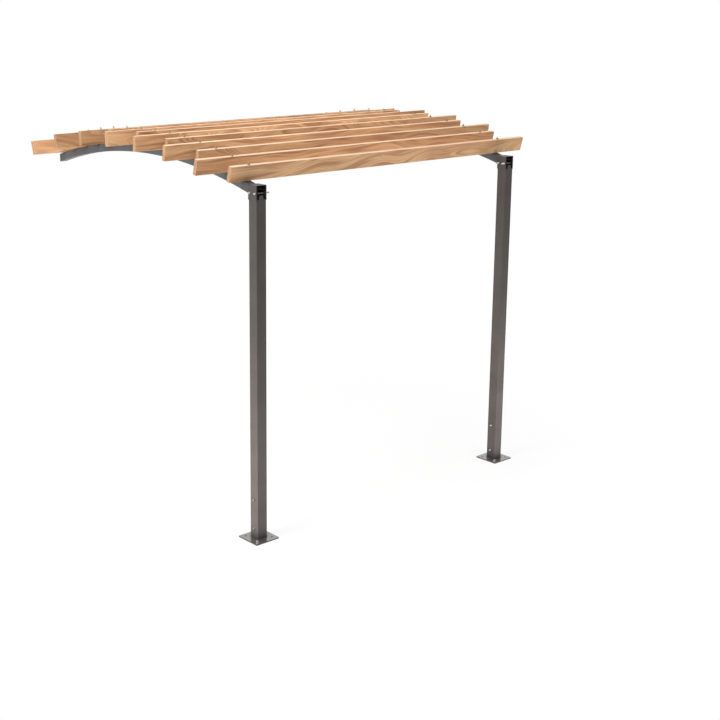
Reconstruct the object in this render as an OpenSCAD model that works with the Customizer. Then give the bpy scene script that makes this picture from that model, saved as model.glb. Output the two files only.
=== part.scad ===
// Lean-to pergola. Two square metal posts carry a pair of arched metal rafters, and timber slats stand
// on edge across the rafters, each square to the arc and shifted sideways in turn.
// Millimetres. The origin is the centre of the underside of the left base plate.
// +X runs along the slats to the right post, +Y back to the wall, +Z up.

/* [Posts] */
// Distance between the centre lines of the two posts
post_spacing = 2233; // [1500:1:3000]
// Side of the square post tube
post_w = 73; // [64:1:90]
// Wall of the post tube
post_wall = 3; // [2:0.5:5]
// Outer corner radius of the post and rafter tubes
tube_corner_r = 2; // [1:0.5:8]

/* [Base plates] */
// How far a base plate reaches past the post on each side
plate_margin = 54; // [44:1:80]
// Thickness of a base plate
plate_t = 8; // [5:0.5:15]
// Corner radius of a base plate
plate_corner_r = 4; // [1:1:20]
// Distance from the edge of the plate to the centre of an anchor hole
anchor_inset = 32; // [15:1:40]
// Diameter of an anchor hole
anchor_hole_d = 14; // [8:0.5:18]
// Wall of the stub tube that stands on the plate inside the post
stub_wall = 3; // [2:0.5:5]
// Clearance between the stub tube and the inside of the post, on each side
stub_gap = 0.3; // [0.1:0.1:0.9]
// Height of the stub tube above the upper foot bolt
stub_margin = 50; // [20:1:100]

/* [Through bolts] */
// Diameter of the holes for the foot bolts and the head bolts
bolt_hole_d = 9; // [7:0.5:13]
// Height of the lower foot bolt above the ground
foot_bolt_low = 70; // [40:1:120]
// Distance from the lower foot bolt to the upper one
foot_bolt_spacing = 190; // [60:1:300]
// Distance between the two head bolts
head_bolt_spacing = 50; // [30:1:54]

/* [Rafters] */
// Radius of the arched top of a rafter
rafter_top_r = 4063; // [3000:1:8000]
// Width of the rafter tube, which stands between the side walls of the post head
rafter_w = 54; // [40:1:60]
// Depth of the rafter tube
rafter_depth = 54; // [40:1:80]
// Wall of the rafter tube
rafter_wall = 3; // [2:0.5:5]
// Height of the top of the arch above the ground
crest_height = 2376; // [1800:1:3000]
// Distance from the posts' centre line back to the top of the arch
crest_y = 1111; // [700:1:1400]
// Distance from the posts' centre line back to the wall
reach = 2228; // [1600:1:2800]

/* [Post heads] */
// Width of the tongue in the front wall of the post head
tongue_w = 32; // [24:1:50]
// Radius of the two top corners of the tongue
tongue_corner_r = 11; // [1:0.5:12]
// Height of the tongue above the underside of the rafter's front end
tongue_rise = 19; // [12:1:22]
// Depth of the notches beside the tongue, below the underside of the rafter's front end
notch_depth = 6; // [4:1:20]
// Clearance between the tongue and the rafter's front end
tongue_gap = 2; // [0.5:0.5:5]

/* [Head brackets] */
// Thickness of the folded sheet
bracket_t = 3; // [2:0.5:5]
// Length of a bracket, from the post's front face backwards
bracket_len = 75; // [72:1:100]
// How far the cheeks reach down below the underside of the rafter's front end
bracket_lap = 11; // [8:1:60]
// Outer radius of the two folds
bracket_bend_r = 4; // [3:0.5:8]
// Clearance between a bracket and the post head and rafter inside it
bracket_gap = 0.3; // [0.1:0.1:0.9]

/* [Slats] */
// Number of slats
slat_count = 14; // [8:1:20]
// Thickness of a slat
slat_t = 28; // [18:1:40]
// Height of a slat on edge
slat_h = 97; // [60:1:140]
// Radius of the eased long edges of a slat
slat_edge_r = 2; // [1:0.5:6]
// Mean reach of the slats past the posts' centre lines
slat_overhang = 204; // [140:1:400]
// How far the slats are shifted in turn to the right and to the left
slat_stagger = 65; // [0:1:90]
// Distance from the head brackets back to the first slat's centre line
front_margin = 68; // [40:1:200]
// Distance from the last slat's centre line back to the wall
wall_margin = 61; // [45:1:200]
// Diameter of the holes for the rods that hold the slats down
rod_hole_d = 9; // [6:0.5:12]

/* [Hidden] */
$fn = 64;
// Segments of the full circle that the rafters are part of
arc_fn = 1440;
// Overshoot of a cut past the faces that it opens
over = 1;
// Clearance between pieces that stand on each other along the arc
seat_gap = 0.2;
// Least inner corner radius of a tube or fold
least_r = 0.5;

metal = [0.34, 0.32, 0.31];
bracket_metal = [0.42, 0.41, 0.41];
rafter_metal = [0.38, 0.38, 0.39];
timber = [0.77, 0.58, 0.42];

// The arc that the rafters follow
arc_z = crest_height - rafter_top_r;
rafter_under_r = rafter_top_r - rafter_depth;
post_front = -post_w / 2;
rafter_front = post_front + post_wall + tongue_gap;
function arc_height(r, y) = arc_z + sqrt(r * r - pow(y - crest_y, 2));
function arc_angle(r, y) = asin((crest_y - y) / r);

// Heights at the post heads
seat_z = arc_height(rafter_under_r, rafter_front);
tongue_top = seat_z + tongue_rise;
notch_z = seat_z - notch_depth;
bracket_back = post_front + bracket_len;
bracket_low = seat_z - bracket_lap;
bracket_in_w = post_w + 2 * bracket_gap;
bracket_w = bracket_in_w + 2 * bracket_t;
bracket_in_r = max(bracket_bend_r - bracket_t, least_r);
bracket_top = arc_height(rafter_top_r, bracket_back) + bracket_gap + bracket_t;
fork_in = post_w - 2 * post_wall;
fork_top = bracket_top - bracket_t - bracket_in_r;

// Through bolts, as [y, z] places
bracket_mid = post_front + bracket_len / 2;
head_bolt_front = bracket_mid - head_bolt_spacing / 2;
head_bolt_z = arc_height(rafter_top_r - rafter_depth / 2, head_bolt_front);
head_bolts = [[head_bolt_front, head_bolt_z], [head_bolt_front + head_bolt_spacing, head_bolt_z]];
foot_bolts = [[0, foot_bolt_low], [0, foot_bolt_low + foot_bolt_spacing]];

// Base plates
plate_w = post_w + 2 * plate_margin;
anchor_c = plate_w / 2 - anchor_inset;
stub_w = post_w - 2 * post_wall - 2 * stub_gap;
stub_top = foot_bolt_low + foot_bolt_spacing + stub_margin;

// Slats, spread evenly along the arc from the first to the last
slat_len = post_spacing + 2 * slat_overhang;
first_angle = arc_angle(rafter_top_r, bracket_back + front_margin);
last_angle = arc_angle(rafter_top_r, reach - wall_margin);
function slat_angle(i) = first_angle + (last_angle - first_angle) * (i - 1) / (slat_count - 1);
function slat_shift(i) = i % 2 == 1 ? slat_stagger : -slat_stagger;
function slat_name(i) = str("slat_", i < 10 ? "0" : "", i);

// Rectangle with four round corners, centred
module rounded_rect(size, r) {
    square([size.x - 2 * r, size.y], center = true);
    square([size.x, size.y - 2 * r], center = true);
    for (sx = [-1, 1], sy = [-1, 1])
        translate([sx * (size.x / 2 - r), sy * (size.y / 2 - r)]) circle(r);
}

// Upright rectangle on the X axis with two round top corners
module round_topped(w, h, r) {
    translate([-w / 2, 0]) square([w, h - r]);
    translate([r - w / 2, 0]) square([w - 2 * r, h]);
    for (side = [-1, 1])
        translate([side * (w / 2 - r), h - r]) circle(r);
}

// Cross-section of a tube, centred
module tube_section(size, wall, r) {
    difference() {
        rounded_rect(size, r);
        rounded_rect([size.x - 2 * wall, size.y - 2 * wall], max(r - wall, least_r));
    }
}

// Holes along X, right through whatever is w wide, at a list of [y, z] places
module cross_holes(places, w) {
    for (place = places)
        translate([-w / 2 - over, place.x, place.y])
            rotate([0, 90, 0]) cylinder(d = bolt_hole_d, h = w + 2 * over);
}

// Base plate with its anchor holes
module base_plate() {
    difference() {
        linear_extrude(plate_t) rounded_rect([plate_w, plate_w], plate_corner_r);
        for (sx = [-1, 1], sy = [-1, 1])
            translate([sx * anchor_c, sy * anchor_c, -over])
                cylinder(d = anchor_hole_d, h = plate_t + 2 * over);
    }
}

// Stub tube that stands on the base plate, for the post to slip over
module stub() {
    difference() {
        translate([0, 0, plate_t]) linear_extrude(stub_top - plate_t)
            tube_section([stub_w, stub_w], stub_wall, max(tube_corner_r - post_wall, least_r));
        cross_holes(foot_bolts, stub_w);
    }
}

// Room for the rafter's end in the post head, between the side walls and behind the front wall
module rafter_room() {
    difference() {
        translate([-fork_in / 2, post_front + post_wall, notch_z - bracket_lap])
            cube([fork_in, post_w, fork_top + over - notch_z + bracket_lap]);
        translate([-post_w, crest_y, arc_z]) rotate([0, 90, 0])
            cylinder(r = rafter_under_r - seat_gap, h = 2 * post_w, $fn = arc_fn);
    }
}

// Cut in the front wall that leaves the round-topped tongue standing
module tongue_cut() {
    translate([0, post_front + post_wall, notch_z]) rotate([90, 0, 0])
        linear_extrude(post_wall + over) difference() {
            translate([-fork_in / 2, 0]) square([fork_in, fork_top + over - notch_z]);
            round_topped(tongue_w, tongue_top - notch_z, tongue_corner_r);
        }
}

// Square tube post. Its side walls run up past the rafter as a fork, its back wall carries the rafter
module post() {
    difference() {
        translate([0, 0, plate_t]) linear_extrude(fork_top - plate_t)
            tube_section([post_w, post_w], post_wall, tube_corner_r);
        rafter_room();
        tongue_cut();
        cross_holes(concat(foot_bolts, head_bolts), post_w);
    }
}

// Arched tube, cut upright at both ends, with holes for the slat rods and the head bolts
module rafter() {
    start = -arc_angle(rafter_under_r, rafter_front - rafter_depth);
    sweep = -arc_angle(rafter_under_r, reach + rafter_depth) - start;
    difference() {
        intersection() {
            translate([0, crest_y, arc_z]) rotate([0, -90, 0]) rotate([0, 0, start])
                rotate_extrude(angle = sweep, $fn = arc_fn)
                    translate([rafter_top_r - rafter_depth / 2, 0])
                        tube_section([rafter_depth, rafter_w], rafter_wall, tube_corner_r);
            translate([-rafter_w, rafter_front, 0])
                cube([2 * rafter_w, reach - rafter_front, crest_height + over]);
        }
        for (i = [1:slat_count])
            translate([0, crest_y, arc_z]) rotate([slat_angle(i), 0, 0])
                translate([0, 0, rafter_top_r - rafter_wall - over])
                    cylinder(d = rod_hole_d, h = rafter_wall + 2 * over);
        cross_holes(head_bolts, rafter_w);
    }
}

// Folded cap over the post head and the rafter's end, with its cheeks lapping the post
module head_bracket() {
    height = bracket_top - bracket_low;
    difference() {
        translate([0, bracket_back, bracket_low]) rotate([90, 0, 0])
            linear_extrude(bracket_len) difference() {
                round_topped(bracket_w, height, bracket_bend_r);
                translate([0, -over])
                    round_topped(bracket_in_w, height - bracket_t + over, bracket_in_r);
            }
        cross_holes(head_bolts, bracket_w);
    }
}

// Slat number i, counted from the front, standing square to the arc
module slat(i) {
    color(timber) translate([post_spacing / 2, crest_y, arc_z]) rotate([slat_angle(i), 0, 0])
        translate([0, 0, rafter_top_r + seat_gap]) difference() {
            translate([slat_shift(i), 0, slat_h / 2]) rotate([90, 0, 90])
                linear_extrude(slat_len, center = true) rounded_rect([slat_t, slat_h], slat_edge_r);
            for (side = [-1, 1])
                translate([side * post_spacing / 2, 0, -over])
                    cylinder(d = rod_hole_d, h = slat_h + 2 * over);
        }
}

module left_base() { color(metal) base_plate(); }
module right_base() { color(metal) translate([post_spacing, 0, 0]) base_plate(); }
module left_stub() { color(metal) stub(); }
module right_stub() { color(metal) translate([post_spacing, 0, 0]) stub(); }
module left_post() { color(metal) post(); }
module right_post() { color(metal) translate([post_spacing, 0, 0]) post(); }
module left_rafter() { color(rafter_metal) rafter(); }
module right_rafter() { color(rafter_metal) translate([post_spacing, 0, 0]) rafter(); }
module left_bracket() { color(bracket_metal) head_bracket(); }
module right_bracket() { color(bracket_metal) translate([post_spacing, 0, 0]) head_bracket(); }

left_base();
right_base();
left_stub();
right_stub();
left_post();
right_post();
left_rafter();
right_rafter();
left_bracket();
right_bracket();
for (i = [1:slat_count])
    slat(i);
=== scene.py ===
"""Looks of the lean-to pergola: planed timber slats, powder-coated steel and zinc-plated fasteners.

Metres, in the frame's axes: +X runs along the slats, +Y back to the wall, +Z up.
Colours are linear, and the scale of a texture is in features per metre.
"""

import math
import random

import bpy
import numpy as np
from mathutils import Matrix, Vector


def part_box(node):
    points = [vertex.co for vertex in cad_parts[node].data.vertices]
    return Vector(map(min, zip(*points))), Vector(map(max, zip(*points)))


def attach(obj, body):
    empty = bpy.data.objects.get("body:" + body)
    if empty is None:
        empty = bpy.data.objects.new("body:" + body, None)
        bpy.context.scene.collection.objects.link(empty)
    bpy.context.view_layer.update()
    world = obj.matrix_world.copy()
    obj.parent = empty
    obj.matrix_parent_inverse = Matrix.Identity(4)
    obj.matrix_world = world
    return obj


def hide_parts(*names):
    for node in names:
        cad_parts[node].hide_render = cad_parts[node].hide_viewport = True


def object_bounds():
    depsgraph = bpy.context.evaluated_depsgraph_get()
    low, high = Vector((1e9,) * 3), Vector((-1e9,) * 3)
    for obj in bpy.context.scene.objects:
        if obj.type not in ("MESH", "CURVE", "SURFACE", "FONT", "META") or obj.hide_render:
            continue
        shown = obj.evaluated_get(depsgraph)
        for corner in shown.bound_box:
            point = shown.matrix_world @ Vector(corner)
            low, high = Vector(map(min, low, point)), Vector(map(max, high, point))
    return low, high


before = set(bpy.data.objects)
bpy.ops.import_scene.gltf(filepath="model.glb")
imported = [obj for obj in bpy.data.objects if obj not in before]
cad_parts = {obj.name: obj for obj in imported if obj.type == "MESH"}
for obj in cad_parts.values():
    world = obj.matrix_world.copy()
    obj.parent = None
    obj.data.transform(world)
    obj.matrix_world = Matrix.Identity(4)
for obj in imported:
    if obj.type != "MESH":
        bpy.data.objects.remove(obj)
cad_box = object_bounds()

BODY = "root"
SIDES = ("left", "right")
SHARP_ANGLE = math.radians(35)

# Picked by a search over many, so that light and dark boards come roughly in the photograph's order
SEED = 73526

# Slats
SLAT_T = 0.028
SLAT_H = 0.097
SLAT_EDGE_R = 0.002
SLAT_EDGE_LEAST_R = 0.0004
SLAT_END_R = 0.0016
CORNER_STEPS = 5
END_STEPS = 4
SEAT_GAP = 0.0002

# The logs that the slats were sawn from
PITH_DISTANCE = (0.09, 0.19)
PITH_SIDEWAYS = (0.025, 0.065)
LOG_TILT = (math.radians(0.7), math.radians(1.5))
LOG_DRIFT = math.radians(0.8)
LOG_SPREAD = 40.0
RINGS_PER_METRE = 300
RINGS_UNEVEN = 5.5
RINGS_SWIRL = 3.0
RINGS_WANDER = (0, 0.04, 0.18)
KNOT_CELLS = 4.0
KNOT_RARITY = 0.78

# Wood colours; a pair runs from one patch or board to another
EARLY_WOOD = ((0.835, 0.55, 0.315, 1), (0.775, 0.47, 0.265, 1))
LATE_WOOD = ((0.42, 0.22, 0.10, 1), (0.40, 0.185, 0.095, 1))
BOARD_TONES = ((0.72, 0.665, 0.61, 1), (1.05, 1.0, 0.945, 1))
DARK_YEARS = (0.34, 0.165, 0.078, 1)
HEARTWOOD = (0.45, 0.225, 0.115, 1)
FIBRES = (0.46, 0.24, 0.11, 1)
PORES = (0.22, 0.10, 0.045, 1)
KNOTS = (0.22, 0.095, 0.045, 1)
END_GRAIN = (0.25, 0.148, 0.088, 1)
# Paler colour of upper faces: sun bleaching and a painted top light
BLEACHED_AND_TOP_LIGHT = (0.88, 0.68, 0.49, 1)

# Steel frame
RAFTER_DEPTH = 0.054
RAFTER_WALL = 0.003
POST_WALL = 0.003
HEAD_BOLT_SPACING = 0.050
HEAD_BOLT_TAIL = 0.029
FOOT_BOLT_HEIGHTS = (0.070, 0.260)
FOOT_BOLT_TAIL = 0.017
ANCHOR_INSET = 0.032
SLEEVE_D = 0.0115
ROD_TAIL = 0.0155

# Paint, with a pale film on upward faces that is dust and a painted top light and also shows on rubbed
# edges, and the reach of the painted shade in corners
POST_PAINT = dict(colour=(0.060, 0.051, 0.047, 1), dust_and_sheen=(0.14, 0.19, 0.27, 1), dust_and_sheen_share=0.6,
                  roughness=0.32, specular=0.24)
PLATE_PAINT = dict(colour=(0.040, 0.036, 0.033, 1), dust_and_sheen=(0.22, 0.21, 0.20, 1), dust_and_sheen_share=0.35,
                   roughness=0.14, specular=1.0, coat=1.0, shade_reach=0.05)
# On the rafter the film is bluer and wider, painted light against the timber's warm reflection
RAFTER_PAINT = dict(colour=(0.071, 0.072, 0.072, 1), dust_and_sheen=(0.18, 0.25, 0.35, 1), dust_and_sheen_share=0.85,
                    roughness=0.34, specular=0.28)
# Near-black colour of the painted shade in corners and under parts
PAINTED_SHADE = (0.010, 0.009, 0.008, 1)
RUBBED_R = 0.0012

# Zinc
BRIGHT_ZINC = (0.56, 0.56, 0.55, 1)
DULL_ZINC = (0.42, 0.42, 0.40, 1)
# Darker copy of the zinc for shanks and sleeves: painted shade inside the bracket and post
SHADED_ZINC = (0.20, 0.195, 0.19, 1)
YELLOW_ZINC = (0.36, 0.265, 0.165, 1)
CLOUDED = 0.72

# Fasteners: thread diameter, pitch, width across flats, head, nut, washer diameter and thickness
M8 = dict(d=0.008, pitch=0.00125, flats=0.013, head=0.0053, nut=0.0066, washer_d=0.016, washer_t=0.0016)
M12 = dict(d=0.012, pitch=0.00175, flats=0.019, head=0.0075, nut=0.0102, washer_d=0.024, washer_t=0.0025)
HEX_STEPS = 6
HEX_FACE = 0.95
ROUND_STEPS = 24
ROWS_PER_PITCH = 6
THREAD_DEPTH = 0.61
CHAMFER_SLOPE = math.tan(math.radians(30))
WASHER_BEVEL = 0.0003

# Which of a bolt's finishes goes where
AT_HEAD, AT_NUT, AT_SHANK = 0, 1, 2

# Camera, from the photograph: place, direction and the optical axis in the 720 pixel frame
FRAME_PX = 720
FOCAL_PX = 1270.3
AXIS_PX = (281.33, 292.99)
SENSOR_MM = 36
CAMERA_PLACE = (-4.6785, -5.7968, 3.2879)
CAMERA_HEADING = math.radians(39.994)
CAMERA_PITCH = math.radians(12.923)

# Studio
AMBIENT = 0.32
WHITE = (1, 1, 1, 1)
FLOOR_COLOUR = (0.86, 0.86, 0.86, 1)
FLOOR_SHADOW = 0.18
FLOOR_RADIUS = 12.0
FLOOR_STEPS = 96
FLOOR_FADE = (1.5, 2.7)
FLOOR_DROP = 0.001
LOW_SPREAD = math.radians(105)


class Graph:
    """A node tree, with short calls that add a node, feed its inputs and give an output back."""

    def __init__(self, tree):
        self.tree = tree
        tree.nodes.clear()

    def node(self, kind, inputs=(), **settings):
        made = self.tree.nodes.new(kind)
        for name, value in settings.items():
            setattr(made, name, value)
        for name, value in dict(inputs).items():
            self.feed(made.inputs[name], value)
        return made

    def feed(self, socket, value):
        if isinstance(value, bpy.types.NodeSocket):
            self.tree.links.new(value, socket)
        else:
            socket.default_value = value

    def math(self, operation, *values):
        made = self.node("ShaderNodeMath", operation=operation)
        for socket, value in zip(made.inputs, values):
            self.feed(socket, value)
        return made.outputs[0]

    def vector(self, operation, *values):
        made = self.node("ShaderNodeVectorMath", operation=operation)
        for socket, value in zip(made.inputs, values):
            self.feed(socket, value)
        return made.outputs["Value" if operation in ("LENGTH", "DOT_PRODUCT") else "Vector"]

    def axis(self, vector, name):
        return self.node("ShaderNodeSeparateXYZ", {"Vector": vector}).outputs[name]

    def noise(self, point, stretch=(1, 1, 1), scale=1.0, detail=2.0, output="Fac"):
        """Noise of a point in metres; scale is in features per metre, and stretch sets it per axis."""
        point = self.vector("MULTIPLY", point, stretch)
        inputs = {"Vector": point, "Scale": scale, "Detail": detail}
        return self.node("ShaderNodeTexNoise", inputs).outputs[output]

    def noise_along(self, value, scale):
        """Noise of a single number."""
        inputs = {"W": value, "Scale": scale, "Detail": 1}
        return self.node("ShaderNodeTexNoise", inputs, noise_dimensions="1D").outputs["Fac"]

    def ramp(self, value, low, high, start=0.0, end=1.0):
        """Smooth step from start at low to end at high."""
        inputs = {"Value": value, "From Min": low, "From Max": high, "To Min": start, "To Max": end}
        return self.node("ShaderNodeMapRange", inputs, interpolation_type="SMOOTHSTEP").outputs["Result"]

    def mix(self, share, a, b, blend="MIX"):
        """Mix of two colours, which are sockets 6 and 7 of the node."""
        made = self.node("ShaderNodeMix", data_type="RGBA", blend_type=blend)
        for index, value in ((0, share), (6, a), (7, b)):
            self.feed(made.inputs[index], value)
        return made.outputs[2]

    def bump(self, height, strength, distance):
        inputs = {"Strength": strength, "Distance": distance, "Height": height}
        return self.node("ShaderNodeBump", inputs).outputs["Normal"]

    def surface(self, shader):
        output = self.node("ShaderNodeOutputMaterial")
        self.tree.links.new(shader.outputs[0], output.inputs["Surface"])


def new_material(name):
    material = bpy.data.materials.new(name)
    material.use_nodes = True
    return material, Graph(material.node_tree)


def knots(g, point):
    """Rare knots in the log, and the swirl of the grain round each."""
    cells = g.node("ShaderNodeTexVoronoi", {"Vector": point, "Scale": KNOT_CELLS})
    rare = g.math("GREATER_THAN", g.axis(cells.outputs["Color"], "X"), KNOT_RARITY)
    knot = g.math("MULTIPLY", g.ramp(cells.outputs["Distance"], 0.055, 0.03), rare)
    swirl = g.math("MULTIPLY", g.ramp(cells.outputs["Distance"], 0.26, 0.02), rare)
    return knot, swirl


def growth_rings(g, point, swirl):
    """Distance from the pith, which wanders along the log, and the count of rings up to there."""
    wander = g.noise(point, (1.6, 2.5, 2.5), detail=1.0, output="Color")
    wander = g.vector("MULTIPLY", g.vector("SUBTRACT", wander, (0.5, 0.5, 0.5)), RINGS_WANDER)
    across = g.vector("MULTIPLY", g.vector("ADD", point, wander), (0, 1, 1))
    radius = g.vector("LENGTH", across)
    uneven = g.math("MULTIPLY", g.noise_along(radius, 70), RINGS_UNEVEN)
    rings = g.math("MULTIPLY_ADD", radius, RINGS_PER_METRE, uneven)
    return radius, g.math("MULTIPLY_ADD", swirl, RINGS_SWIRL, rings)


def grain_colour(g, point, radius, rings, late):
    """Early and late wood, dark years and heartwood, which follow the rings and fade along the log."""
    flow = g.node("ShaderNodeCombineXYZ", {"X": g.axis(point, "X"), "Y": radius}).outputs["Vector"]
    patch = g.noise(point, (1.1, 9, 9), detail=1.0)
    streak = g.noise(flow, (3, 150, 1), detail=2.0)
    fade = g.ramp(g.noise(flow, (2.4, 30, 1), detail=1.0), 0.38, 0.62)
    years = g.math("MULTIPLY", g.ramp(g.noise_along(rings, 0.2), 0.42, 0.62), fade)
    heart = g.ramp(g.noise(flow, (2, 45, 1), detail=2.0), 0.52, 0.7, 0.0, 0.75)

    early_colour = g.mix(g.ramp(patch, 0.38, 0.66), *EARLY_WOOD)
    late_colour = g.mix(g.ramp(patch, 0.35, 0.7), *LATE_WOOD)
    share = g.math("MULTIPLY", late, g.ramp(streak, 0.3, 0.7, 0.15, 0.9))
    colour = g.mix(share, early_colour, late_colour)
    colour = g.mix(g.math("MULTIPLY", years, 0.8), colour, DARK_YEARS)
    return g.mix(heart, colour, HEARTWOOD)


def weathered_and_top_lit(g, colour):
    """Darker end grain, and upper faces paler: sun bleaching and a painted top light."""
    normal = g.node("ShaderNodeNewGeometry").outputs["True Normal"]
    end = g.ramp(g.math("ABSOLUTE", g.axis(normal, "X")), 0.7, 0.95, 0.0, 0.6)
    # Painted top light, partly sun bleaching: upward faces paler
    bleach_and_top_light = g.ramp(g.axis(normal, "Z"), 0.75, 0.95, 0.0, 0.4)
    return g.mix(bleach_and_top_light, g.mix(end, colour, END_GRAIN), BLEACHED_AND_TOP_LIGHT)


def timber():
    """Planed timber, sawn beside the pith: rings, knots, fibres and pores, and a tone for each board."""
    material, g = new_material("timber")
    point = g.node("ShaderNodeAttribute", attribute_name="log_point").outputs["Vector"]
    tone = g.node("ShaderNodeAttribute", attribute_name="board_tone").outputs["Fac"]

    knot, swirl = knots(g, point)
    radius, rings = growth_rings(g, point, swirl)
    phase = g.math("FRACT", rings)
    late = g.math("MULTIPLY", g.ramp(phase, 0.15, 0.86), g.ramp(phase, 1.0, 0.88))
    fibre = g.noise(point, (9, 1100, 1100), detail=3.0)
    pore = g.ramp(g.noise(point, (45, 2400, 2400), detail=0.0), 0.70, 0.80)

    colour = grain_colour(g, point, radius, rings, late)
    colour = g.mix(g.ramp(fibre, 0.3, 0.75, 0.0, 0.3), colour, FIBRES)
    colour = g.mix(g.math("MULTIPLY", pore, 0.35), colour, PORES)
    colour = g.mix(g.math("MULTIPLY", knot, 0.8), colour, KNOTS)
    colour = g.mix(1.0, colour, g.mix(tone, *BOARD_TONES), "MULTIPLY")

    height = g.math("ADD", g.math("MULTIPLY", late, 0.5), g.math("MULTIPLY", fibre, 0.6))
    shader = g.node("ShaderNodeBsdfPrincipled", {
        "Base Color": weathered_and_top_lit(g, colour),
        "Roughness": g.ramp(late, 0, 1, 0.5, 0.38),
        "Specular IOR Level": 0.3,
        "Normal": g.bump(height, strength=0.35, distance=0.0004),
    })
    g.surface(shader)
    return material


def rubbed_edges(g, geometry, clouds):
    """How far the paint is rubbed off the corners, here and there."""
    rounded = g.node("ShaderNodeBevel", {"Radius": RUBBED_R}, samples=4).outputs["Normal"]
    flatness = g.vector("DOT_PRODUCT", rounded, geometry.outputs["True Normal"])
    return g.math("MULTIPLY", g.ramp(flatness, 0.99, 0.85), g.ramp(clouds, 0.4, 0.65, 0.0, 0.35))


def dust_and_top_sheen(g, geometry, point, share):
    """Speckled dust and a painted top light where the surface looks up."""
    up = g.axis(geometry.outputs["Normal"], "Z")
    speckle = g.ramp(g.noise(point, scale=30, detail=4.0), 0.25, 0.7, 0.4, 1.0)
    return g.math("MULTIPLY", g.ramp(up, 0.5, 0.98, 0.0, share), speckle)


def painted_corner_shade(g, point, reach, painted_shade_before):
    """Painted shade: black that reaches so far out of a corner, and black where y is below the given limit,
    for the shade inside the bracket.
    """
    corner = g.node("ShaderNodeAmbientOcclusion", {"Distance": reach}, samples=8).outputs["AO"]
    # Painted shade: the less open the corner, the darker
    painted_shade = g.ramp(corner, 0.95, 0.45, 0.0, 0.9)
    if painted_shade_before is None:
        return painted_shade
    # Painted shade: the rafter's end inside the bracket is painted black where y is below the limit
    return g.math("MAXIMUM", painted_shade, g.math("LESS_THAN", g.axis(point, "Y"), painted_shade_before))


def powder_coat(name, colour, dust_and_sheen, dust_and_sheen_share, roughness, specular,
                coat=0.0, shade_reach=0.12, painted_shade_before=None):
    """Sprayed and baked paint: orange peel, faint clouds, rubbed edges, dust and a painted top light on top,
    painted shade in corners.
    """
    material, g = new_material(name)
    point = g.node("ShaderNodeTexCoord").outputs["Object"]
    geometry = g.node("ShaderNodeNewGeometry")
    clouds = g.noise(point, scale=7, detail=3.0)
    grain = g.noise(point, scale=420, detail=1.0)
    peel = g.noise(point, scale=640, detail=1.0)
    # Painted shade, which also roughens the paint and takes the coat off there
    painted_shade = painted_corner_shade(g, point, shade_reach, painted_shade_before)

    shade = g.math("ADD", g.ramp(clouds, 0.25, 0.75, 0.9, 1.08), g.ramp(grain, 0.3, 0.7, -0.05, 0.05))
    painted = g.mix(1.0, colour, shade, "MULTIPLY")
    painted = g.mix(rubbed_edges(g, geometry, clouds), painted, dust_and_sheen)
    # Dust and a painted top light on upward faces
    painted = g.mix(dust_and_top_sheen(g, geometry, point, dust_and_sheen_share), painted, dust_and_sheen)
    # Painted shade laid into the colour
    painted = g.mix(painted_shade, painted, PAINTED_SHADE)

    satin = g.ramp(clouds, 0.2, 0.8, roughness - 0.04, roughness + 0.04)
    shader = g.node("ShaderNodeBsdfPrincipled", {
        "Base Color": painted,
        "Roughness": g.math("MAXIMUM", satin, painted_shade),
        "Specular IOR Level": specular,
        "Coat Weight": g.ramp(painted_shade, 0, 1, coat, 0),
        "Coat Roughness": 0.12,
        "Normal": g.bump(peel, strength=0.2, distance=0.00015),
    })
    g.surface(shader)
    return material


def zinc(name, colour):
    """Zinc-plated steel: a cloudy, slightly dulled metal."""
    material, g = new_material(name)
    point = g.node("ShaderNodeTexCoord").outputs["Object"]
    clouds = g.noise(point, scale=160, detail=3.0)
    fine = g.noise(point, scale=1500, detail=2.0)
    clouded = tuple(CLOUDED * c for c in colour[:3]) + (1,)
    shader = g.node("ShaderNodeBsdfPrincipled", {
        "Base Color": g.mix(g.ramp(clouds, 0.3, 0.7), clouded, colour),
        "Metallic": 1.0,
        "Roughness": g.ramp(clouds, 0.25, 0.75, 0.32, 0.5),
        "Normal": g.bump(fine, strength=0.2, distance=0.00005),
    })
    g.surface(shader)
    return material


class Sketch:
    """Points and faces of one piece, gathered from several lofts."""

    def __init__(self):
        self.points = []
        self.faces = []
        self.finishes = []

    def loft(self, rings, place=None, closed=False, finish=0):
        """Skins rings of equal length; the ends are capped, or joined to each other if closed."""
        first, count = len(self.points), len(rings[0])
        for ring in rings:
            self.points += [tuple(place @ Vector(p)) if place else tuple(p) for p in ring]
        spans = len(rings) if closed else len(rings) - 1
        for row in range(spans):
            low, high = row * count, (row + 1) % len(rings) * count
            for k in range(count):
                after = (k + 1) % count
                self.faces.append([first + i for i in (low + k, low + after, high + after, high + k)])
        if not closed:
            last = first + (len(rings) - 1) * count
            self.faces.append([first + k for k in reversed(range(count))])
            self.faces.append([last + k for k in range(count)])
        self.finishes += [finish] * (len(self.faces) - len(self.finishes))

    def build(self, name, materials):
        mesh = bpy.data.meshes.new(name)
        mesh.from_pydata(self.points, [], self.faces)
        for material in materials:
            mesh.materials.append(material)
        mesh.polygons.foreach_set("material_index", self.finishes)
        mesh.shade_smooth()
        mesh.set_sharp_from_angle(angle=SHARP_ANGLE)
        piece = bpy.data.objects.new(name, mesh)
        bpy.context.scene.collection.objects.link(piece)
        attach(piece, BODY)
        return piece


def circle(radius, z, steps=ROUND_STEPS):
    turns = [2 * math.pi * k / steps for k in range(steps)]
    return [(radius * math.cos(a), radius * math.sin(a), z) for a in turns]


def tube_rings(inner, outer, start, end):
    """Plain sleeve from start to end."""
    return [circle(inner, start), circle(outer, start), circle(outer, end), circle(inner, end)]


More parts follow.
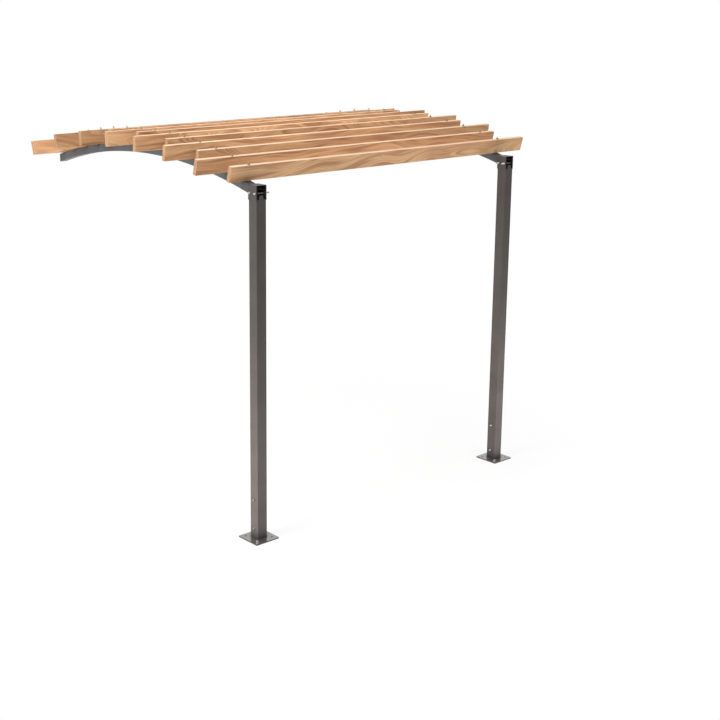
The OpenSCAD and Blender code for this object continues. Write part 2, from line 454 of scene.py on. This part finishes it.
def washer_rings(size, z):
    """Flat ring with bevelled edges, from z upwards."""
    inner, outer, top = size["d"] / 2, size["washer_d"] / 2, z + size["washer_t"]
    b = WASHER_BEVEL
    profile = [(inner, z), (outer - b, z), (outer, z + b), (outer, top - b), (outer - b, top), (inner, top)]
    return [circle(r, h) for r, h in profile]


def hexagon_rings(size, z, height, low_chamfer, high_chamfer):
    """Hexagonal head or nut whose corners are turned off to a cone at the ends that say so."""
    apothem = size["flats"] / 2
    face = HEX_FACE * apothem
    steps = 6 * HEX_STEPS
    turns = [2 * math.pi * k / steps for k in range(steps)]
    edge = [apothem / math.cos(a % (math.pi / 3) - math.pi / 6) for a in turns]

    def ring(heights):
        return [(r * math.cos(a), r * math.sin(a), h) for r, a, h in zip(edge, turns, heights)]

    drop = [(r - face) * CHAMFER_SLOPE for r in edge]
    low = [z + d if low_chamfer else z for d in drop]
    high = [z + height - d if high_chamfer else z + height for d in drop]
    return [circle(face, z, steps), ring(low), ring(high), circle(face, z + height, steps)]


def thread_rings(size, start, end):
    """Screw thread whose ridge climbs one pitch a turn, with a bevelled end."""
    radius, pitch = size["d"] / 2, size["pitch"]
    depth = THREAD_DEPTH * pitch
    rows = math.ceil((end - start) / pitch * ROWS_PER_PITCH)
    rings = []
    for z in np.linspace(start, end, rows + 1):
        limit = radius - max(0.0, z - end + depth)
        ring = []
        for k in range(ROUND_STEPS):
            turn = k / ROUND_STEPS
            ridge = abs(2 * ((z / pitch - turn) % 1) - 1)
            r = min(radius - depth * (1 - ridge), limit)
            ring.append((r * math.cos(2 * math.pi * turn), r * math.sin(2 * math.pi * turn), z))
        rings.append(ring)
    return rings


def add_bolt(sketch, size, place, grip, tail):
    """Bolt along local +Z: head and washer below z = 0, nut and thread end beyond the grip."""
    radius = size["d"] / 2
    under_head = -size["washer_t"]
    nut_start = grip + size["washer_t"]
    nut_end = nut_start + size["nut"]
    head = hexagon_rings(size, under_head - size["head"], size["head"], True, False)
    sketch.loft(head, place, finish=AT_HEAD)
    sketch.loft(washer_rings(size, under_head), place, closed=True, finish=AT_HEAD)
    sketch.loft([circle(radius, under_head), circle(radius, nut_start)], place, finish=AT_SHANK)
    sketch.loft(washer_rings(size, grip), place, closed=True, finish=AT_NUT)
    sketch.loft(hexagon_rings(size, nut_start, size["nut"], True, True), place, finish=AT_NUT)
    sketch.loft(thread_rings(size, nut_end - size["pitch"], grip + tail), place, finish=AT_NUT)


def add_rod(sketch, size, place, depth):
    """Rod along local +Z that clamps a slat: nut and thread end above z = 0, nut under the depth."""
    radius = size["d"] / 2
    nut_start = size["washer_t"]
    nut_end = nut_start + size["nut"]
    low_nut = -depth - size["nut"]
    low_end = low_nut - 2 * size["pitch"]
    sketch.loft([circle(radius, low_end), circle(radius, nut_start)], place)
    sketch.loft(hexagon_rings(size, low_nut, size["nut"], True, True), place)
    sketch.loft(washer_rings(size, 0), place, closed=True)
    sketch.loft(hexagon_rings(size, nut_start, size["nut"], True, True), place)
    sketch.loft(thread_rings(size, nut_end - size["pitch"], ROD_TAIL), place)


def add_anchor(sketch, size, place, plate_t):
    """Anchor bolt whose washer and head lie on the plate at local z = 0."""
    radius = size["d"] / 2
    sketch.loft([circle(radius, -plate_t), circle(radius, size["washer_t"])], place)
    sketch.loft(washer_rings(size, 0), place, closed=True)
    sketch.loft(hexagon_rings(size, size["washer_t"], size["head"], False, True), place)


def centre(node):
    low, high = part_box(node)
    return (low + high) / 2


def width(node):
    low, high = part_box(node)
    return high.x - low.x


def circle_centre(a, b, c):
    """Centre of the circle through three points of the YZ plane."""
    rows = [[2 * (p.y - a.y), 2 * (p.z - a.z)] for p in (b, c)]
    sums = [p.y ** 2 + p.z ** 2 - a.y ** 2 - a.z ** 2 for p in (b, c)]
    y, z = np.linalg.solve(rows, sums)
    return Vector((0, y, z))


def slat_section(inset):
    """Outline of a slat's cross-section, as (thickness, height) pairs, drawn in by the inset."""
    half_t, half_h = SLAT_T / 2 - inset, SLAT_H / 2 - inset
    r = max(SLAT_EDGE_R - inset, SLAT_EDGE_LEAST_R)
    outline = []
    for quarter, (sy, sz) in enumerate(((1, 1), (-1, 1), (-1, -1), (1, -1))):
        for step in range(CORNER_STEPS + 1):
            a = math.pi / 2 * (quarter + step / CORNER_STEPS)
            outline.append((sy * (half_t - r) + r * math.cos(a), sz * (half_h - r) + r * math.sin(a)))
    return outline


def slat_rings(length):
    """Cross-sections along a slat, with the arrises of both ends eased."""
    eased = [SLAT_END_R * (1 - math.cos(math.pi / 2 * k / END_STEPS)) for k in range(END_STEPS + 1)]
    drawn = [SLAT_END_R * (1 - math.sin(math.pi / 2 * k / END_STEPS)) for k in range(END_STEPS + 1)]
    half = length / 2
    stations = [(-half + x, inset) for x, inset in zip(eased, drawn)]
    stations += [(-x, inset) for x, inset in reversed(stations)]
    return [[(x, y, z) for y, z in slat_section(inset)] for x, inset in stations]


def log_points(points, rng):
    """Where a slat's points lay in the log: X along the pith, Y and Z across from it."""
    pith = Vector((0, rng.choice((-1, 1)) * rng.uniform(*PITH_DISTANCE),
                   rng.choice((-1, 1)) * rng.uniform(*PITH_SIDEWAYS)))
    tilt = rng.choice((-1, 1)) * rng.uniform(*LOG_TILT)
    drift = rng.uniform(-1, 1) * LOG_DRIFT
    turn = Matrix.Rotation(tilt, 4, "Z") @ Matrix.Rotation(drift, 4, "Y")
    along = Vector((rng.uniform(-1, 1) * LOG_SPREAD, 0, 0))
    return [turn @ (Vector(p) - pith) + along for p in points]


def slat_place(node, arc):
    """Frame of a slat: local Z away from the arc's centre, through the slat's own centre."""
    middle = centre(node)
    lean = math.atan2(arc.y - middle.y, middle.z - arc.z)
    return Matrix.Translation(middle) @ Matrix.Rotation(lean, 4, "X")


def add_slat(node, place, material, rng):
    """Board with eased ends in the place of a plain slat, with its place in the log and its tone."""
    sketch = Sketch()
    sketch.loft(slat_rings(width(node)))
    in_log = log_points(sketch.points, rng)
    sketch.points = [tuple(place @ Vector(p)) for p in sketch.points]
    piece = sketch.build(node.replace("slat", "timber"), [material])
    mesh = piece.data
    flat = np.array(in_log, np.float32).ravel()
    mesh.attributes.new("log_point", "FLOAT_VECTOR", "POINT").data.foreach_set("vector", flat)
    tones = np.full(len(mesh.vertices), rng.random(), np.float32)
    mesh.attributes.new("board_tone", "FLOAT", "POINT").data.foreach_set("value", tones)
    piece.modifiers.new("normals", "WEIGHTED_NORMAL").keep_sharp = True
    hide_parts(node)


def add_slats(slats, arc):
    wood = timber()
    rng = random.Random(SEED)
    for node in slats:
        add_slat(node, slat_place(node, arc), wood, rng)


def paint_metal(slats):
    """Paint on the CAD nodes that stay, which are all but the slats."""
    post = powder_coat("post_paint", **POST_PAINT)
    plate = powder_coat("plate_paint", **PLATE_PAINT)
    bracket_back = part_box("left_bracket")[1].y
    # The rafter's end inside the bracket is painted black, as shade
    rafter = powder_coat("rafter_paint", **RAFTER_PAINT, painted_shade_before=bracket_back)
    special = {"base": plate, "rafter": rafter}
    for name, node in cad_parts.items():
        if name not in slats:
            kind = name.split("_")[1]
            node.data.materials.clear()
            node.data.materials.append(special.get(kind, post))


def bolt_place(side, grip, y, z):
    """Frame of a bolt through a post: its head is on the outer side, and local Z runs inwards."""
    outwards = -1 if side == "left" else 1
    start = Vector((centre(f"{side}_post").x + outwards * grip / 2, y, z))
    return Matrix.Translation(start) @ Matrix.Rotation(-outwards * math.pi / 2, 4, "Y")


def add_head_bolts(side, slats, arc, finishes):
    """Two bolts through bracket, post and rafter, with spacer sleeves beside the rafter."""
    slat_radius = (centre(slats[0]) - arc).yz.length
    rafter_mid_r = slat_radius - SLAT_H / 2 - SEAT_GAP - RAFTER_DEPTH / 2
    front = centre(f"{side}_bracket").y - HEAD_BOLT_SPACING / 2
    height = arc.z + math.sqrt(rafter_mid_r ** 2 - (front - arc.y) ** 2)

    grip = width(f"{side}_bracket")
    post_w = width(f"{side}_post")
    sleeve = (post_w - width(f"{side}_rafter")) / 2 - POST_WALL - 2 * SEAT_GAP
    sleeve_start = (grip - post_w) / 2 + POST_WALL + SEAT_GAP
    bolts = Sketch()
    for y in (front, front + HEAD_BOLT_SPACING):
        place = bolt_place(side, grip, y, height)
        add_bolt(bolts, M8, place, grip, HEAD_BOLT_TAIL)
        for z in (sleeve_start, grip - sleeve_start - sleeve):
            rings = tube_rings(M8["d"] / 2, SLEEVE_D / 2, z, z + sleeve)
            bolts.loft(rings, place, closed=True, finish=AT_SHANK)
    bolts.build(f"{side}_head_bolts", finishes)


def add_foot_bolts(side, finishes):
    """Two bolts through the foot of a post and the stub inside it."""
    grip = width(f"{side}_post")
    y = centre(f"{side}_post").y
    bolts = Sketch()
    for z in FOOT_BOLT_HEIGHTS:
        add_bolt(bolts, M8, bolt_place(side, grip, y, z), grip, FOOT_BOLT_TAIL)
    bolts.build(f"{side}_foot_bolts", finishes)


def add_anchor_bolts(side, finish):
    """Anchor bolts in two opposite corners of a base plate."""
    low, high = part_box(f"{side}_base")
    anchors = Sketch()
    for corner, step in ((low, ANCHOR_INSET), (high, -ANCHOR_INSET)):
        spot = Vector((corner.x + step, corner.y + step, high.z))
        add_anchor(anchors, M12, Matrix.Translation(spot), high.z - low.z)
    anchors.build(f"{side}_anchor_bolts", [finish])


def add_slat_rods(side, slats, arc, finish):
    """Rods that clamp the slats to the top wall of a rafter."""
    x = centre(f"{side}_post").x
    rods = Sketch()
    for node in slats:
        place = slat_place(node, arc)
        top = Matrix.Translation((x - place.translation.x, 0, SLAT_H / 2))
        add_rod(rods, M8, place @ top, SLAT_H + SEAT_GAP + RAFTER_WALL)
    rods.build(f"{side}_slat_rods", [finish])


def add_fasteners(slats, arc):
    bright = zinc("bright_zinc", BRIGHT_ZINC)
    dull = zinc("dull_zinc", DULL_ZINC)
    # Shanks and sleeves take the dark copy as painted shade
    dark = zinc("shaded_zinc", SHADED_ZINC)
    yellow = zinc("yellow_zinc", YELLOW_ZINC)
    for side in SIDES:
        add_head_bolts(side, slats, arc, [bright, bright, dark])
        add_foot_bolts(side, [dull, bright, dark])
        add_anchor_bolts(side, dull)
        add_slat_rods(side, slats, arc, yellow)


def add_camera():
    data = bpy.data.cameras.new("camera")
    data.sensor_width = SENSOR_MM
    data.lens = FOCAL_PX / FRAME_PX * SENSOR_MM
    data.shift_x = 0.5 - AXIS_PX[0] / FRAME_PX
    data.shift_y = AXIS_PX[1] / FRAME_PX - 0.5
    camera = bpy.data.objects.new("camera", data)
    camera.location = CAMERA_PLACE
    camera.rotation_euler = (math.pi / 2 - CAMERA_PITCH, 0, -CAMERA_HEADING)
    bpy.context.scene.collection.objects.link(camera)
    bpy.context.scene.camera = camera


def seen_directly(g):
    """1 for rays that show the background itself: straight from the camera, mirrored or seen through."""
    path = g.node("ShaderNodeLightPath").outputs
    seen = g.math("MAXIMUM", path["Is Camera Ray"], path["Is Glossy Ray"])
    return g.math("MAXIMUM", seen, path["Is Transmission Ray"])


def light_world():
    """White background that lights the object only softly."""
    world = bpy.data.worlds.new("studio")
    bpy.context.scene.world = world
    world.use_nodes = True
    g = Graph(world.node_tree)
    white = g.node("ShaderNodeBackground", {"Color": WHITE, "Strength": 1.0})
    soft = g.node("ShaderNodeBackground", {"Color": WHITE, "Strength": AMBIENT})
    shown = g.node("ShaderNodeMixShader", {0: seen_directly(g), 1: soft.outputs[0], 2: white.outputs[0]})
    output = g.node("ShaderNodeOutputWorld")
    world.node_tree.links.new(shown.outputs[0], output.inputs["Surface"])


def pale_floor():
    """Floor that takes the shadow and fades to the white background away from the object."""
    material, g = new_material("pale_floor")
    seen = seen_directly(g)
    matt = g.node("ShaderNodeBsdfDiffuse", {"Color": FLOOR_COLOUR})
    far = g.node("ShaderNodeEmission", {"Strength": 1.0})
    lifted = g.math("MULTIPLY", seen, 1 - FLOOR_SHADOW)
    near = g.node("ShaderNodeMixShader", {0: lifted, 1: matt.outputs[0], 2: far.outputs[0]})
    away = g.vector("LENGTH", g.node("ShaderNodeTexCoord").outputs["Object"])
    fade = g.math("MULTIPLY", g.ramp(away, *FLOOR_FADE), seen)
    g.surface(g.node("ShaderNodeMixShader", {0: fade, 1: near.outputs[0], 2: far.outputs[0]}))
    return material


def add_floor(middle, ground):
    mesh = bpy.data.meshes.new("floor")
    mesh.from_pydata(circle(FLOOR_RADIUS, 0, FLOOR_STEPS), [], [range(FLOOR_STEPS)])
    mesh.materials.append(pale_floor())
    floor = bpy.data.objects.new("floor", mesh)
    floor.location = (middle.x, middle.y, ground - FLOOR_DROP)
    bpy.context.scene.collection.objects.link(floor)


def add_softbox(name, place, aim, size, watts, spread=math.pi, mirrored=True):
    """Panel light; one that is not mirrored throws light but shows in no glossy surface."""
    data = bpy.data.lights.new(name, "AREA")
    data.shape = "RECTANGLE"
    data.size, data.size_y = size
    data.energy = watts
    data.spread = spread
    lamp = bpy.data.objects.new(name, data)
    lamp.visible_glossy = mirrored
    lamp.location = place
    lamp.rotation_euler = (Vector(aim) - Vector(place)).to_track_quat("-Z", "Y").to_euler()
    bpy.context.scene.collection.objects.link(lamp)


def add_lamps(middle):
    """Three large panels, and two narrow ones low down that brighten the feet of the posts."""
    add_softbox("key", place=(-6.0, 0.5, 4.2), aim=middle, size=(3.5, 3.5), watts=468)
    add_softbox("top", place=(middle.x, middle.y + 1.8, 7.0), aim=middle, size=(5.0, 5.0), watts=358)
    add_softbox("front", place=(middle.x - 0.5, -6.0, 3.6), aim=(middle.x, 0.0, 2.4), size=(4.0, 2.0),
                watts=85)
    low = dict(spread=LOW_SPREAD, mirrored=False)
    add_softbox("low_front", place=(1.8, -1.6, 0.15), aim=(1.8, 0.0, 0.3), size=(3.4, 0.25), watts=33, **low)
    add_softbox("low_left", place=(-1.6, 0.5, 0.15), aim=(0.0, 0.4, 0.3), size=(2.4, 0.25), watts=30, **low)


def main():
    slats = sorted(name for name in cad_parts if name.startswith("slat_"))
    arc = circle_centre(*(centre(slats[i]) for i in (0, len(slats) // 2, -1)))
    add_slats(slats, arc)
    paint_metal(slats)
    add_fasteners(slats, arc)

    low, high = cad_box
    middle = (low + high) / 2
    add_camera()
    light_world()
    add_floor(middle, low.z)
    add_lamps(middle)
    bpy.context.scene.view_settings.view_transform = "Standard"


main()
